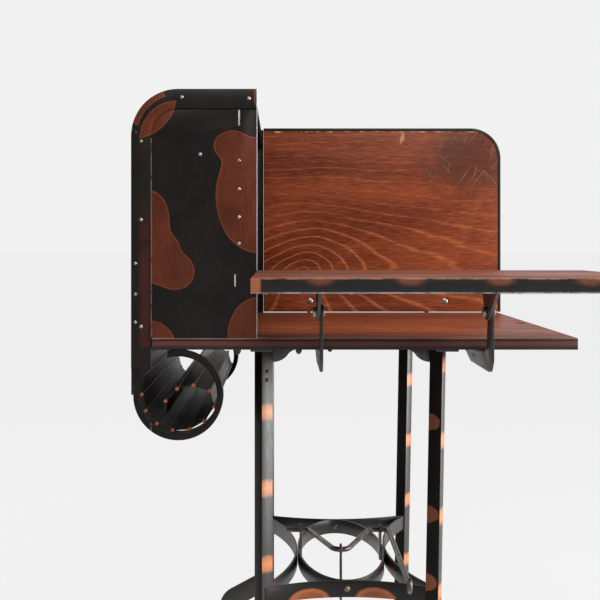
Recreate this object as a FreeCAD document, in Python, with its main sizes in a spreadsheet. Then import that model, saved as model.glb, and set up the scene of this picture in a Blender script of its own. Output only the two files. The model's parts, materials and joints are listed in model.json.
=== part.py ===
import FreeCAD, Part
import math
import os
import types

import Sketcher

# A cabinet table: an oak board on an open stand of angle steel, a sheet-steel cabinet with a slatted
# roll curtain over its rear, and an oak leaf at each side that swings from upright to level.
# Frame: X from the rear (-) to the front (+), Y from the near side (-) to the far side (+), Z up,
# with Z = 0 on the floor. The near leaf is level and the far leaf upright in this rest position.

DIMENSIONS = {
    # table board
    "top_height": 680.0,
    "board_thick": 16.0,
    "board_rear": -282.0,
    "board_front": 306.0,
    "half_width": 280.0,
    "middle_y": 148.75,
    "band_thick": 1.2,
    # cabinet and curtain track
    "cabinet_rear": -311.0,
    "cabinet_front": -137.0,
    "cabinet_tall": 344.0,
    "cabinet_corner": 65.0,
    "track_wide": 27.0,
    "track_deep": 16.0,
    "lip_thick": 1.5,
    "sheet_thick": 2.0,
    "track_foot": -43.0,
    # curtain coil
    "coil_x": -246.0,
    "coil_drop": 78.7,
    "ring_outer": 62.0,
    "ring_inner": 53.7,
    "path_inset": 13.5,
    "slat_pitch": 23.2,
    "slat_thick": 1.6,
    "slat_length": 540.0,
    "slat_rod": 2.5,
    # side leaves
    "leaf_rear": -136.6,
    "leaf_front": 311.0,
    "leaf_thick": 16.0,
    "leaf_inner": 8.5,
    "leaf_outer": 355.0,
    "leaf_corner": 57.0,
    "leaf_under": 78.0,
    "skin_thick": 1.5,
    "channel_wide": 5.5,
    "pivot_out": 46.5,
    "pivot_up": 39.5,
    "arm_rear_x": -52.5,
    "arm_front_x": 174.5,
    "arm_thick": 4.0,
    "pivot_pin": 4.0,
    "bore_play": 0.05,
    # stand
    "leg_rear_x": -131.7,
    "leg_front_x": 128.5,
    "leg_inset": 62.0,
    "frames_apart": 420.4,
    "leg_flange": 19.0,
    "leg_wall": 3.0,
    "leg_turn": 35.0,
    "near_front_turn": 67.0,
    "front_lean": 1.07,
    "front_leg_foot": 62.0,
    "rear_leg_foot": 86.0,
    "rail_thick": 4.0,
    "rail_wide": 30.0,
    "strap_top": 314.0,
    "strap_tall": 24.4,
    "strap_thick": 3.0,
    "strap_middle_x": -6.7,
    "oval_short": 70.0,
    "oval_long": 176.1,
    # crank lever and brake
    "crank_z": 342.0,
    "crank_rod": 4.0,
    "crank_corner": 144.0,
    "crank_tip_bend": 14.0,
    "crank_bend": 9.0,
    "lever_reach": 286.0,
    "pull_rod": 2.0,
    # casters
    "wheel_radius": 22.0,
    "wheel_wide": 12.0,
    "caster_trail": 14.0,
    "axle_radius": 3.0,
    "stem_radius": 4.0,
    "rear_caster_x": -206.0,
    "front_caster_x": 114.0,
    "socket_low": 60.0,
    "socket_tall": 26.0,
    "socket_radius": 9.0,
    "crown_low": 54.5,
    "crown_radius": 12.0,
    "neck_low": 50.0,
    "neck_wide": 20.0,
    "cheek_thick": 2.5,
    "axle_long": 24.0,
    # rear braces
    "brace_thick": 4.0,
    "brace_arm_top": 210.0,
    "brace_arm_low": 172.0,
    "brace_bend_top": 168.4,
    "brace_bend_low": 141.3,
    "brace_bar_top": 112.0,
    "brace_bar_low": 92.0,
    "brace_foot": 86.0,
    # crank posts
    "post_thick": 4.0,
    "post_wide": 14.0,
    "post_foot": 20.0,
    "eye_radius": 9.0,
    "lever_x": 72.0,
}

NEAR = -1
FAR = 1
SIDES = {"near": NEAR, "far": FAR}

doc = FreeCAD.newDocument("cabinet_table")
sheet = doc.addObject("Spreadsheet::Sheet", "dims")
for row, (alias, number) in enumerate(DIMENSIONS.items(), start=1):
    sheet.set(f"A{row}", alias)
    sheet.set(f"B{row}", str(number))
    sheet.setAlias(f"B{row}", alias)
doc.recompute()


class Size:
    """A dimension: its value in millimetres, and the spreadsheet expression that gives it."""

    def __init__(self, value, text):
        self.value = value
        self.text = text

    def join(self, other, sign, value):
        return Size(value, f"({self.text} {sign} {as_size(other).text})")

    def __add__(self, other):
        return self.join(other, "+", self.value + as_size(other).value)

    def __sub__(self, other):
        return self.join(other, "-", self.value - as_size(other).value)

    def __mul__(self, other):
        return self.join(other, "*", self.value * as_size(other).value)

    def __truediv__(self, other):
        return self.join(other, "/", self.value / as_size(other).value)

    def __radd__(self, other):
        return as_size(other) + self

    def __rsub__(self, other):
        return as_size(other) - self

    def __rmul__(self, other):
        return self * other

    def __neg__(self):
        return self * -1


def as_size(number):
    return number if isinstance(number, Size) else Size(float(number), f"({float(number)})")


D = types.SimpleNamespace(**{alias: Size(number, f"dims.{alias}") for alias, number in DIMENSIONS.items()})
N = types.SimpleNamespace(**DIMENSIONS)

TURN_UP = FreeCAD.Rotation(FreeCAD.Vector(1, 0, 0), 90)
nodes = []


def bind(obj, **sizes):
    for name, amount in sizes.items():
        obj.setExpression(name, as_size(amount).text)


def place(obj, x=0, y=0, z=0, turn=None):
    spot = [as_size(amount) for amount in (x, y, z)]
    obj.Placement = FreeCAD.Placement(FreeCAD.Vector(*[s.value for s in spot]), turn or FreeCAD.Rotation())
    for axis, amount in zip("xyz", spot):
        obj.setExpression(f"Placement.Base.{axis}", amount.text)
    return obj


def box(x, y, z, length, width, height, name="block"):
    block = doc.addObject("Part::Box", name)
    bind(block, Length=length, Width=width, Height=height)
    return place(block, x, y, z)


AXIS_TURNS = {
    "x": FreeCAD.Rotation(FreeCAD.Vector(0, 1, 0), 90),
    "y": FreeCAD.Rotation(FreeCAD.Vector(1, 0, 0), -90),
    "z": FreeCAD.Rotation(),
}


def round_bar(x, y, z, radius, height, along="z", name="round"):
    bar = doc.addObject("Part::Cylinder", name)
    bind(bar, Radius=radius, Height=height)
    return place(bar, x, y, z, AXIS_TURNS[along])


def cut(base, tool, name="cut"):
    result = doc.addObject("Part::Cut", name)
    result.Base = base
    result.Tool = tool
    return result


def fuse(parts, name="fused"):
    result = doc.addObject("Part::MultiFuse", name)
    result.Shapes = parts
    result.Refine = True
    return result


def group(parts, name="group"):
    result = doc.addObject("Part::Compound", name)
    result.Links = parts
    return result


def feature(shape, name="form"):
    result = doc.addObject("Part::Feature", name)
    result.Shape = shape
    return result


def node(obj, label):
    obj.Label = label
    nodes.append(obj)
    return obj


def plate(outline, thick, rounds=(), name="plate"):
    """A flat plate on the XY plane: outline is its corners, rounds is (corner number, radius)."""
    body = doc.addObject("PartDesign::Body", name)
    ground = [f for f in body.Origin.OriginFeatures if f.Role == "XY_Plane"][0]
    sketch = body.newObject("Sketcher::SketchObject", name + "_outline")
    sketch.AttachmentSupport = [(ground, "")]
    sketch.MapMode = "FlatFace"
    corners = [(as_size(x), as_size(y)) for x, y in outline]
    flat = [FreeCAD.Vector(x.value, y.value, 0) for x, y in corners]
    count = len(flat)
    for i in range(count):
        sketch.addGeometry(Part.LineSegment(flat[i], flat[(i + 1) % count]), False)
    for i in range(count):
        sketch.addConstraint(Sketcher.Constraint("Coincident", i, 2, (i + 1) % count, 1))
    for i, (x, y) in enumerate(corners):
        for kind, amount in (("DistanceX", x), ("DistanceY", y)):
            number = sketch.addConstraint(Sketcher.Constraint(kind, -1, 1, i, 1, amount.value))
            sketch.setExpression(f"Constraints[{number}]", amount.text)
    pad = body.newObject("PartDesign::Pad", name + "_pad")
    pad.Profile = sketch
    bind(pad, Length=thick)
    doc.recompute()
    for number, radius in rounds:
        spot = flat[number]
        solid = body.Tip
        edge = [
            f"Edge{i}"
            for i, e in enumerate(solid.Shape.Edges, start=1)
            if len(e.Vertexes) == 2
            and all(math.hypot(v.X - spot.x, v.Y - spot.y) < 0.01 for v in e.Vertexes)
        ]
        fillet = body.newObject("PartDesign::Fillet", name + "_round")
        fillet.Base = (solid, edge)
        bind(fillet, Radius=radius)
        body.Tip = fillet
        doc.recompute()
    return body


def outward(side, distance):
    """The Y of a point that lies distance outside the side plane of the table."""
    return D.middle_y + (D.half_width + distance) * side


def outward_span(side, inner, outer):
    """The lower Y of a stretch between two distances from the side plane."""
    return outward(side, outer) if side == NEAR else outward(side, inner)


def polar(centre_x, centre_z, radius, degrees):
    angle = math.radians(degrees)
    return FreeCAD.Vector(centre_x + radius * math.cos(angle), 0, centre_z + radius * math.sin(angle))


# --- table board -----------------------------------------------------------------------------------

def make_table_board():
    length = D.board_front - D.board_rear
    width = D.half_width * 2
    low = D.top_height - D.board_thick
    board = box(
        D.board_rear + D.band_thick, outward(NEAR, 0) + D.band_thick, low,
        length - D.band_thick * 2, width - D.band_thick * 2, D.board_thick, "oak_board",
    )
    slot_long = 30
    slot_wide = 12
    slot_deep = 5
    slot = box(
        D.board_front - 24, D.middle_y - slot_long / 2, D.top_height - slot_deep,
        slot_wide, slot_long, slot_deep * 2, "lock_slot",
    )
    node(cut(board, slot, "slotted_board"), "table_board")
    outer = box(D.board_rear, outward(NEAR, 0), low, length, width, D.board_thick, "band_outside")
    inner = box(
        D.board_rear + D.band_thick, outward(NEAR, 0) + D.band_thick, low - 1,
        length - D.band_thick * 2, width - D.band_thick * 2, D.board_thick + 2, "band_inside",
    )
    node(cut(outer, inner, "band"), "table_edge_band")


def make_underframe():
    bars = []
    for x in (D.leg_rear_x, D.leg_front_x):
        bars.append(box(
            x - D.rail_wide / 2, outward(NEAR, -12), D.top_height - D.board_thick - D.rail_thick,
            D.rail_wide, D.half_width * 2 - 24, D.rail_thick, "rail",
        ))
    node(group(bars, "rails"), "underframe_rails")


# --- cabinet ---------------------------------------------------------------------------------------

def contour(inset, foot):
    """The cabinet's outline, inset all along: front end of the roof, round corner, foot of the back."""
    top = N.top_height + N.cabinet_tall
    centre = (N.cabinet_rear + N.cabinet_corner, top - N.cabinet_corner)
    radius = N.cabinet_corner - inset
    start = FreeCAD.Vector(N.cabinet_front, 0, top - inset)
    bend = [polar(*centre, radius, angle) for angle in (90, 135, 180)]
    end = FreeCAD.Vector(N.cabinet_rear + inset, 0, foot)
    return [
        Part.LineSegment(start, bend[0]).toShape(),
        Part.Arc(*bend).toShape(),
        Part.LineSegment(bend[2], end).toShape(),
    ]


def contour_band(outer, inner, foot, depth):
    """A solid between two insets of the outline, from Y = 0 to Y = depth."""
    out_edges = contour(outer, foot)
    in_edges = contour(inner, foot)
    front = Part.LineSegment(out_edges[0].firstVertex().Point, in_edges[0].firstVertex().Point)
    rear = Part.LineSegment(out_edges[2].lastVertex().Point, in_edges[2].lastVertex().Point)
    ring = Part.Wire(Part.__sortEdges__(out_edges + in_edges + [front.toShape(), rear.toShape()]))
    return Part.Face(ring).extrude(FreeCAD.Vector(0, depth, 0))


def make_track(name, side):
    foot = N.top_height + N.track_foot
    coil_z = N.top_height - N.coil_drop
    web = contour_band(0, N.track_wide, foot, N.sheet_thick * side)
    deep = -N.track_deep * side
    outer_lip = contour_band(0, N.lip_thick, coil_z, deep)
    inner_lip = contour_band(N.track_wide - N.lip_thick, N.track_wide, foot, deep)
    track = web.fuse([outer_lip, inner_lip]).removeSplitter()
    track.translate(FreeCAD.Vector(0, outward(side, 0).value, 0))
    node(feature(track, "track"), f"track_{name}")


def make_coil_ring(name, side):
    centre_z = D.top_height - D.coil_drop
    face_y = outward_span(side, 0, D.sheet_thick)
    disc = round_bar(D.coil_x, face_y, centre_z, D.ring_outer, D.sheet_thick, "y", "ring_disc")
    tongue = box(
        D.cabinet_rear + D.lip_thick, face_y, centre_z + 11,
        D.track_wide - D.lip_thick, D.sheet_thick, D.coil_drop + D.track_foot - 11, "ring_tongue",
    )
    hole = round_bar(D.coil_x, face_y - 1, centre_z, D.ring_inner, D.sheet_thick + 2, "y", "ring_hole")
    face = cut(fuse([disc, tongue], "ring_blank"), hole, "ring_face")
    gap = box(D.coil_x - 50, face_y - 1, centre_z + 35.7, 35, D.sheet_thick + 2, 40, "ring_gap")
    face = cut(face, gap, "ring_open")
    rim_y = outward_span(side, -D.track_deep, 0)
    rim = round_bar(D.coil_x, rim_y, centre_z, D.ring_outer, D.track_deep, "y", "rim_disc")
    bore = round_bar(
        D.coil_x, rim_y - 1, centre_z, D.ring_outer - D.lip_thick, D.track_deep + 2, "y", "rim_hole")
    clear = box(D.coil_x - 80, rim_y - 1, centre_z, 66, D.track_deep + 2, 80, "rim_gap")
    hoop = cut(cut(rim, bore, "rim_hoop"), clear, "rim_open")
    node(fuse([face, hoop], "ring"), f"coil_ring_{name}")


def make_side_plate(name, side):
    left = D.cabinet_rear + D.track_wide
    tall = D.cabinet_tall - D.track_wide
    outline = [(left, 0), (D.cabinet_front, 0), (D.cabinet_front, tall), (left, tall)]
    sheet_plate = plate(outline, D.sheet_thick, [(3, D.cabinet_corner - D.track_wide)], f"side_{name}")
    # turned upright, the plate's thickness runs towards -Y from its place
    place(sheet_plate, 0, outward_span(side, -D.sheet_thick, 0) + D.sheet_thick, D.top_height, TURN_UP)
    slots = []
    for x, low, high in ((-162, 293, 316), (-167.6, 70, 89)):
        slots.append(box(
            x - 1.8, outward_span(side, -3, 1), D.top_height + low, 3.6, 4, high - low, "rack_slot"))
    node(cut(sheet_plate, group(slots, "slots"), "slotted_side"), f"side_plate_{name}")


def make_lining():
    gap = 2
    lining = box(
        D.cabinet_rear + D.track_wide + gap, outward(NEAR, -2), D.top_height,
        D.sheet_thick, D.half_width * 2 - 4, D.cabinet_tall - D.cabinet_corner, "lining",
    )
    node(lining, "back_lining")
    strips = []
    for side in (NEAR, FAR):
        strips.append(box(
            -172, outward_span(side, -4, -2), D.top_height + 112, 20, 2, 150, "strip"))
    node(group(strips, "strips"), "side_stiffeners")


RIVET_SPOTS = (
    # x, height over the table top, distance of the sheet's face from the side plane
    (-241, 333, 2), (-148.3, 331, 2), (-297, 271.9, 2), (-297, 163.7, 2), (-297, 16.3, 2),
    (-215.9, 254.2, 0), (-162, 245.6, 0), (-162, 206.3, 0), (-162, 167.5, 0), (-162, 131, 0),
    (-305, 103.2, 2), (-305, 60.8, 2), (-305, 22.4, 2),
)


def rivet(radius, tall):
    """A low domed head that rises along +Z from Z = 0."""
    ball = (radius * radius + tall * tall) / (2 * tall)
    dome = Part.makeSphere(ball, FreeCAD.Vector(0, 0, tall - ball))
    keep = Part.makeCylinder(radius + 1, tall + 1)
    return dome.common(keep)


def make_cabinet_rivets():
    heads = []
    for side in (NEAR, FAR):
        turn = FreeCAD.Rotation(FreeCAD.Vector(0, 0, 1), FreeCAD.Vector(0, side, 0))
        for x, up, out in RIVET_SPOTS:
            head = rivet(2.6, 1.5)
            spot = FreeCAD.Vector(x, outward(side, out).value, N.top_height + up)
            head.Placement = FreeCAD.Placement(spot, turn)
            heads.append(head)
    node(feature(Part.makeCompound(heads), "rivets"), "cabinet_rivets")


# --- curtain ---------------------------------------------------------------------------------------

def slat_run(points, name, with_first=True):
    """Slats between successive knuckle points in the XZ plane, with a rod at each knuckle."""
    half = N.slat_length / 2
    solids = []
    for start, end in zip(points[:-1], points[1:]):
        along = end - start
        angle = math.degrees(math.atan2(-along.z, along.x))
        length = along.Length - 2 * N.slat_rod - 0.1
        slat = Part.makeBox(length, N.slat_length, N.slat_thick,
                            FreeCAD.Vector(-length / 2, -half, -N.slat_thick / 2))
        middle = (start + end) * 0.5 + FreeCAD.Vector(0, N.middle_y, 0)
        slat.Placement = FreeCAD.Placement(middle, FreeCAD.Rotation(FreeCAD.Vector(0, 1, 0), angle))
        solids.append(slat)
    for point in points[:-1] if with_first else points[1:-1]:
        base = point + FreeCAD.Vector(0, N.middle_y - half - 2, 0)
        solids.append(Part.makeCylinder(N.slat_rod, N.slat_length + 4, base, FreeCAD.Vector(0, 1, 0)))
    node(feature(Part.makeCompound(solids), "slats"), name)


def curtain_path():
    """Knuckle points from the front end of the roof, round the corner and down to the coil."""
    top = N.top_height + N.cabinet_tall
    roof_z = top - N.path_inset
    back_x = N.cabinet_rear + N.path_inset
    centre = (N.cabinet_rear + N.cabinet_corner, top - N.cabinet_corner)
    radius = N.cabinet_corner - N.path_inset
    roof = [FreeCAD.Vector(centre[0] + N.slat_pitch * i, 0, roof_z) for i in (4, 3, 2, 1, 0)]
    step = 2 * math.degrees(math.asin(N.slat_pitch / 2 / radius))
    corner_count = int(90 / step)
    corner = [polar(*centre, radius, 90 + 90 * i / corner_count) for i in range(corner_count + 1)]
    coil_z = N.top_height - N.coil_drop
    drop = corner[-1].z - coil_z
    back_count = int(drop / N.slat_pitch)
    back = [FreeCAD.Vector(back_x, 0, corner[-1].z - drop * i / back_count) for i in range(back_count + 1)]
    return roof, corner, back


def coil_point(turned):
    """A point of the rolled end: turned is the angle in degrees past its left-hand start."""
    coil_z = N.top_height - N.coil_drop
    wrap_turn = 175
    wrap_radius = N.coil_x - (N.cabinet_rear + N.path_inset)
    slack = 1.2
    if turned <= wrap_turn:
        sag = slack * math.sin(math.radians(180 * turned / wrap_turn)) ** 2
        return polar(N.coil_x, coil_z, wrap_radius - sag, 180 + turned)
    # the free end turns inward on a smaller loop, low and to the front of the ring
    roll_x = N.coil_x + 12
    roll_z = coil_z - 22
    join = polar(N.coil_x, coil_z, wrap_radius, 180 + wrap_turn) - FreeCAD.Vector(roll_x, 0, roll_z)
    join_angle = math.degrees(math.atan2(join.z, join.x))
    tighten = min((turned - wrap_turn) / 70, 1)
    radius = join.Length + (33 - join.Length) * tighten
    return polar(roll_x, roll_z, radius, join_angle + turned - wrap_turn)


def coil_path():
    end_angle = 360
    points = [coil_point(0)]
    turned = 0
    while turned < end_angle:
        turned += 0.5
        if coil_point(turned).distanceToPoint(points[-1]) >= N.slat_pitch:
            points.append(coil_point(turned))
    return points


def make_curtain():
    roof, corner, back = curtain_path()
    slat_run(roof, "curtain_roof_slats", with_first=False)
    slat_run(corner, "curtain_corner_slats")
    slat_run(back, "curtain_back_slats")
    slat_run(coil_path(), "curtain_coil_slats")
    bar = box(
        D.cabinet_rear + D.cabinet_corner + D.slat_pitch * 4, D.middle_y - D.slat_length / 2,
        D.top_height + D.cabinet_tall - D.path_inset - 4, 14, D.slat_length, 8, "bar",
    )
    node(bar, "curtain_lead_bar")


# --- side leaves -----------------------------------------------------------------------------------

BOLT_X = (-48.5, 206.5)
BOLT_INSET = 20
BOLT_RADIUS = 6.5
BOLT_TALL = 2.2


def leaf_place(obj, side):
    """Put a leaf piece, drawn level about its pivot line, on its hinge: near level, far upright."""
    turn = FreeCAD.Rotation() if side == NEAR else FreeCAD.Rotation(FreeCAD.Vector(1, 0, 0), 90)
    return place(obj, 0, outward(side, D.pivot_out), D.top_height + D.pivot_up, turn)


def leaf_slab(side, low, tall, shrink, name):
    """A slab of the leaf's outline, shrunk at its outer and front edges, level about the pivot line."""
    inner = (D.leaf_inner - D.pivot_out) * side
    outer = (D.leaf_outer - D.pivot_out - shrink) * side
    front = D.leaf_front - shrink
    outline = [(D.leaf_rear, inner), (front, inner), (front, outer), (D.leaf_rear, outer)]
    slab = plate(outline, tall, [(2, D.leaf_corner - shrink)], name)
    return place(slab, 0, 0, low)


def make_leaf(name, side):
    under = D.leaf_under - D.pivot_up
    board = leaf_slab(side, under + D.skin_thick, D.leaf_thick - D.skin_thick, D.channel_wide,
                      f"leaf_board_{name}")
    recesses = []
    for x in BOLT_X:
        bolt_y = (D.leaf_inner - D.pivot_out + BOLT_INSET) * side
        top = under + D.leaf_thick
        recesses.append(round_bar(x, bolt_y, top - BOLT_TALL - 0.1, BOLT_RADIUS + 0.4, 5, "z", "recess"))
    board = cut(board, group(recesses, "recesses"), "recessed_leaf")
    node(leaf_place(board, side), f"{name}_leaf_board")
    skin = leaf_slab(side, under, D.skin_thick, D.channel_wide, f"leaf_skin_{name}")
    node(leaf_place(group([skin], "steel_skin"), side), f"{name}_leaf_skin")
    full = leaf_slab(side, under, D.leaf_thick, 0, f"channel_blank_{name}")
    core = leaf_slab(side, under - 1, D.leaf_thick + 2, D.channel_wide, f"channel_core_{name}")
    node(leaf_place(cut(full, core, "channel"), side), f"{name}_leaf_edge")
    make_arms(name, side)
    make_leaf_bolts(name, side)


def arm_outline(side):
    """The leaf arm beside its pivot: wide under the leaf, narrow and round at the pivot."""
    under = D.leaf_under - D.pivot_up
    return [
        ((D.leaf_inner - D.pivot_out + 2) * side, under),
        (as_size(-9 * side), as_size(-11)),
        (as_size(9 * side), as_size(-11)),
        (as_size(73 * side), under - 8),
        (as_size(73 * side), under),
    ]


TURN_SIDE = FreeCAD.Rotation(FreeCAD.Vector(1, 1, 1), 120)


def make_arms(name, side):
    arms = []
    for x, foot_from, foot_long in ((D.arm_rear_x, -14, 28), (D.arm_front_x, -10, 46)):
        web = plate(arm_outline(side), D.arm_thick, [(1, 8.5), (2, 8.5)], f"arm_{name}")
        place(web, x - D.arm_thick, 0, 0, TURN_SIDE)
        foot_y = -32 if side == FAR else 32 - 24
        foot = box(x + foot_from, as_size(foot_y), D.leaf_under - D.pivot_up - 3, foot_long, 24, 3, "foot")
        hole = round_bar(x - D.arm_thick - 1, 0, 0, D.pivot_pin + D.bore_play, D.arm_thick + 2, "x", "hole")
        arms.append(cut(fuse([web, foot], "arm"), hole, "bored_arm"))
    node(leaf_place(group(arms, "arms"), side), f"{name}_leaf_arms")


def make_leaf_bolts(name, side):
    """Slotted bolt heads sunk in the oak face, and the rivets of the steel skin."""
    upper = N.leaf_under - N.pivot_up + N.leaf_thick
    heads = []
    inner = N.leaf_inner - N.pivot_out
    for x in BOLT_X:
        head = rivet(BOLT_RADIUS, BOLT_TALL)
        slot = Part.makeBox(1.4, 16, 2, FreeCAD.Vector(-0.7, -8, BOLT_TALL - 0.9))
        head = head.cut(slot)
        head.translate(FreeCAD.Vector(x, (inner + BOLT_INSET) * side, upper - BOLT_TALL - 0.1))
        heads.append(head)
    lower = N.leaf_under - N.pivot_up
    down = FreeCAD.Rotation(FreeCAD.Vector(1, 0, 0), 180)
    for number in range(5):
        for reach in (N.leaf_outer - N.pivot_out - 14, N.leaf_inner - N.pivot_out + 160):
            head = rivet(2.6, 1.4)
            spot = FreeCAD.Vector(-119.5 + 90 * number, reach * side, lower)
            head.Placement = FreeCAD.Placement(spot, down)
            heads.append(head)
    node(leaf_place(feature(Part.makeCompound(heads), "heads"), side), f"{name}_leaf_bolts")


def make_brackets(name, side):
    """The fixed brackets: flat under the board, then out past its edge and up to the pivot."""
    under = -D.board_thick
    outline = [
        (-152 * side, under), (-152 * side, under - 12), (-100 * side, under - 26),
        (44 * side, under - 26), (58 * side, under - 10), (D.pivot_out * side + 10 * side, D.pivot_up + 10),
        (D.pivot_out * side - 10 * side, D.pivot_up + 10), (22 * side, under + 6), (10 * side, under - 2),
        (1 * side, under - 2), (1 * side, under),
    ]
    for spot, x in (("rear", D.arm_rear_x), ("front", D.arm_front_x)):
        web = plate(outline, D.arm_thick, [(5, 9.5), (6, 9.5), (3, 12), (4, 12)], f"bracket_{name}_{spot}")
        place(web, x + 0.5, outward(side, 0), D.top_height, TURN_SIDE)
        holes = []
        for inward in (70, 134):
            holes.append(round_bar(x - 1, outward(side, -inward), D.top_height - 30, 3, 8, "x", "hole"))
        pin_hole = round_bar(x - 1, outward(side, D.pivot_out), D.top_height + D.pivot_up,
                             D.pivot_pin, 8, "x", "pin_hole")
        drilled = cut(web, group(holes + [pin_hole], "holes"), "drilled")
        node(drilled, f"{name}_{spot}_bracket")


def make_pivot_pins():
    pins = []
    for side in (NEAR, FAR):
        for x in (D.arm_rear_x, D.arm_front_x):
            y = outward(side, D.pivot_out)
            z = D.top_height + D.pivot_up
            shank = round_bar(x - D.arm_thick - 5, y, z, D.pivot_pin, D.arm_thick * 2 + 7, "x", "shank")
            nut = round_bar(x - D.arm_thick - 5, y, z, 7, 4.6, "x", "nut")
            head = round_bar(x + D.arm_thick + 0.5, y, z, 6.5, 2.5, "x", "head")
            pins.append(fuse([shank, nut, head], "pin"))
    node(group(pins, "pins"), "leaf_pivot_pins")


# --- stand -----------------------------------------------------------------------------------------

LEGS = {
    # name: (side, is a front leg, turn of the angle section about Z)
    "near_rear": (NEAR, False, N.leg_turn),
    "near_front": (NEAR, True, N.near_front_turn),
    "far_front": (FAR, True, 90 - N.leg_turn),
    "far_rear": (FAR, False, N.leg_turn),
}


def stand_y(side, behind=0):
    """Y of a place in the stand, whose two side frames are alike: behind is its distance past the
    corner line of that side's legs, toward the far side."""
    near_row = outward(NEAR, -D.leg_inset) + behind
    return near_row if side == NEAR else near_row + D.frames_apart


def make_leg(name, side, front, turn):
    flange = D.leg_flange
    wall = D.leg_wall
    outline = [(0, 0), (flange, 0), (flange, wall), (wall, wall), (wall, flange), (0, flange)]
    top = D.top_height - D.board_thick - D.rail_thick
    lean = N.front_lean if front else 0
    foot = D.front_leg_foot if front else D.rear_leg_foot
    tall = (top - foot) / math.cos(math.radians(lean))
    leg = plate(outline, tall, [], f"angle_{name}")
    slope = math.tan(math.radians(lean))
    foot_x = D.leg_front_x - (top - foot) * slope if front else D.leg_rear_x
    tilt = FreeCAD.Rotation(FreeCAD.Vector(0, 1, 0), lean)
    spin = FreeCAD.Rotation(FreeCAD.Vector(0, 0, 1), turn)
    place(leg, foot_x, stand_y(side), foot, tilt.multiply(spin))
    ends = box(-200, stand_y(side) - 40, top, 400, 80, 20, "leg_end")
    return node(cut(leg, ends, "trimmed_leg"), f"leg_{name}")


def make_gussets():
    """A small ogee bracket beside every leg top, under the rails."""
    long = 50
    tall = 21
    lip = 2.5
    thick = 3
    pieces = []
    for side, front, _ in LEGS.values():
        x = N.leg_front_x if front else N.leg_rear_x
        inward = -1 if front else 1
        top = N.top_height - N.board_thick - N.rail_thick

        def spot(reach, drop):
            return FreeCAD.Vector(reach * inward, 0, -drop)

        hollow = Part.Arc(spot(long, lip), spot(42, 4.5), spot(36, 9)).toShape()
        belly = Part.Arc(spot(36, 9), spot(28, 17), spot(14, tall)).toShape()
        ring = Part.Wire([
            Part.makeLine(spot(0, 0), spot(long, 0)), Part.makeLine(spot(long, 0), spot(long, lip)),
            hollow, belly, Part.makeLine(spot(14, tall), spot(0, tall)),
            Part.makeLine(spot(0, tall), spot(0, 0)),
        ])
        piece = Part.Face(ring).extrude(FreeCAD.Vector(0, thick, 0))
        y = stand_y(side, 14).value - thick / 2
        piece.translate(FreeCAD.Vector(x + 2.5 * inward, y, top))
        pieces.append(piece)
    return pieces


def strap_arc(end_a, middle, end_b):
    """An upright strap bent to the arc through three points in plan."""
    circle = Part.Arc(end_a, middle, end_b).toShape().Curve
    centre = circle.Center
    radius = circle.Radius
    half = N.strap_thick / 2
    outer = [centre + (p - centre).normalize() * (radius + half) for p in (end_a, middle, end_b)]
    inner = [centre + (p - centre).normalize() * (radius - half) for p in (end_a, middle, end_b)]
    edges = [
        Part.Arc(*outer).toShape(), Part.makeLine(outer[2], inner[2]),
        Part.Arc(inner[2], inner[1], inner[0]).toShape(), Part.makeLine(inner[0], outer[0]),
    ]
    return Part.Face(Part.Wire(edges)).extrude(FreeCAD.Vector(0, 0, N.strap_tall))


def largest(shape):
    """The main solid of a shape that a cut may have left in several pieces."""
    return max(shape.Solids, key=lambda solid: solid.Volume)


def make_stretcher(leg_shapes):
    low = N.strap_top - N.strap_tall
    middle_x = N.strap_middle_x
    half = N.strap_thick / 2
    # corner lines of the rear and front legs at the height of the straps
    rear_foot = N.leg_rear_x
    front_foot = N.leg_front_x - 7.8

    def in_plan(x, y):
        return FreeCAD.Vector(x, y.value, low)

    side_arcs = []
    for name, side in SIDES.items():
        bow = N.half_width - N.oval_long - half - 0.1
        end_y = stand_y(side, 3.9)
        arc = strap_arc(in_plan(rear_foot + 3.1, end_y), in_plan(middle_x, outward(side, -bow)),
                        in_plan(front_foot - 2.2, end_y))
        side_arcs.append(largest(arc.cut(leg_shapes)))
        node(feature(side_arcs[-1], "arc"), f"stretcher_{name}")
    for name, x, direction in (("rear", rear_foot - 2, -1), ("front", front_foot + 0.5, 1)):
        middle = FreeCAD.Vector(middle_x + direction * (N.oval_short + half + 0.3), N.middle_y, low)
        arc = strap_arc(in_plan(x, stand_y(NEAR, 5.5)), middle, in_plan(x, stand_y(FAR, 5.5)))
        node(feature(largest(arc.cut(leg_shapes + side_arcs)), "arc"), f"stretcher_{name}")
    make_oval(low)


def make_oval(low):
    solids = []
    for shrink, spare in ((0, 0), (N.strap_thick, 1)):
        curve = doc.addObject("Part::Ellipse", "oval_curve")
        bind(curve, MajorRadius=D.oval_long - shrink, MinorRadius=D.oval_short - shrink)
        quarter = FreeCAD.Rotation(FreeCAD.Vector(0, 0, 1), 90)
        place(curve, D.strap_middle_x, D.middle_y, D.strap_top - D.strap_tall - spare, quarter)
        solid = doc.addObject("Part::Extrusion", "oval_solid")
        solid.Base = curve
        solid.DirMode = "Custom"
        solid.Dir = FreeCAD.Vector(0, 0, 1)
        solid.Solid = True
        bind(solid, LengthFwd=D.strap_tall + spare * 2)
        solids.append(solid)
    node(cut(solids[0], solids[1], "oval"), "oval_ring")


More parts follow.
